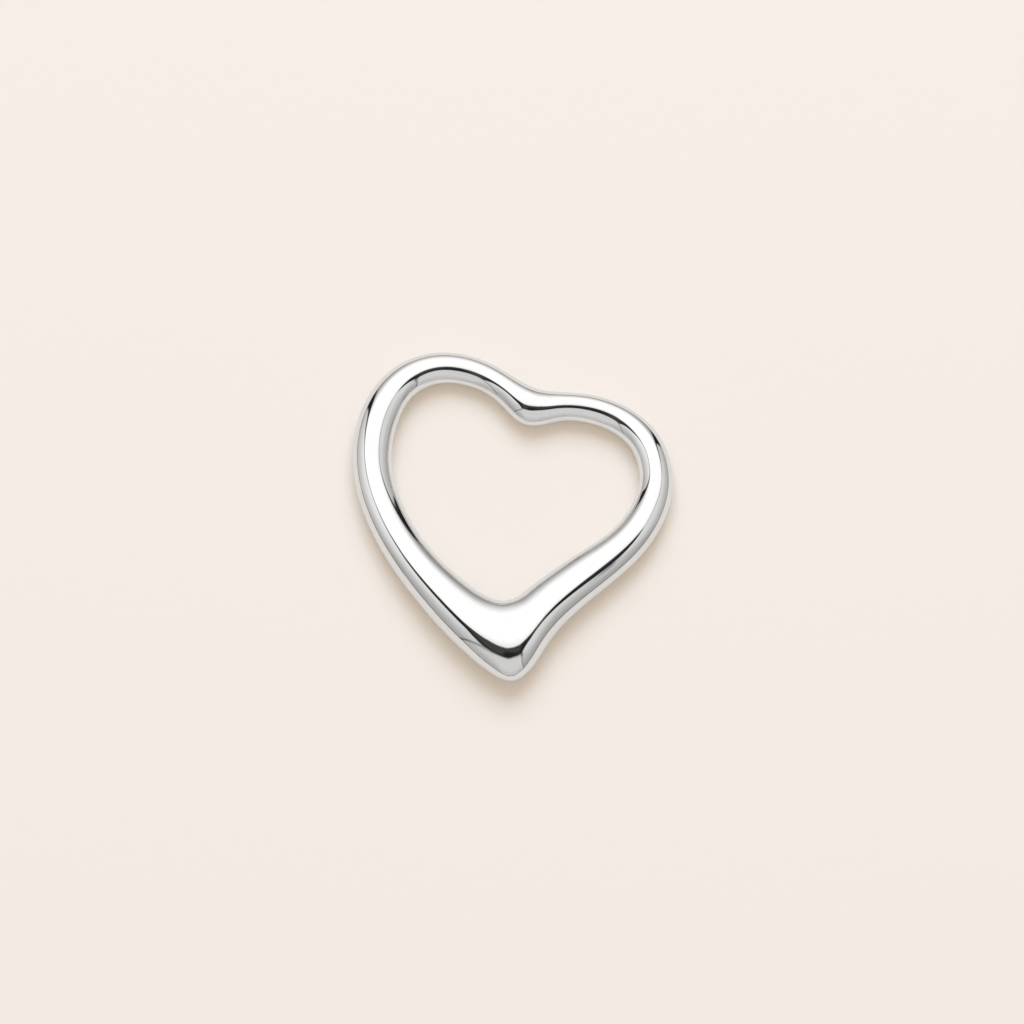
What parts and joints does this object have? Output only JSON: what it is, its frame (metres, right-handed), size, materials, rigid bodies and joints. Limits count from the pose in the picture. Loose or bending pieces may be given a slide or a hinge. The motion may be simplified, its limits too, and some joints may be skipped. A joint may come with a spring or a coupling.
{
  "type": "open heart pendant",
  "caption": "Open heart pendant: a full, nearly round silver band bent into a lopsided heart, broad at its point, worn on a chain threaded through the opening.",
  "frame": {"origin": "under the middle of the heart's bounding box, on the surface that its back rests on", "axes": "+X across the lobes to the smaller one, +Y from the point up to the lobes, +Z out of the face"},
  "size_m": [0.022, 0.0236, 0.003],
  "materials": {
    "silver": "mirror-polished sterling silver with fine handling marks"
  },
  "bodies": {
    "root": {"heart": "silver"}
  },
  "joints": []
}
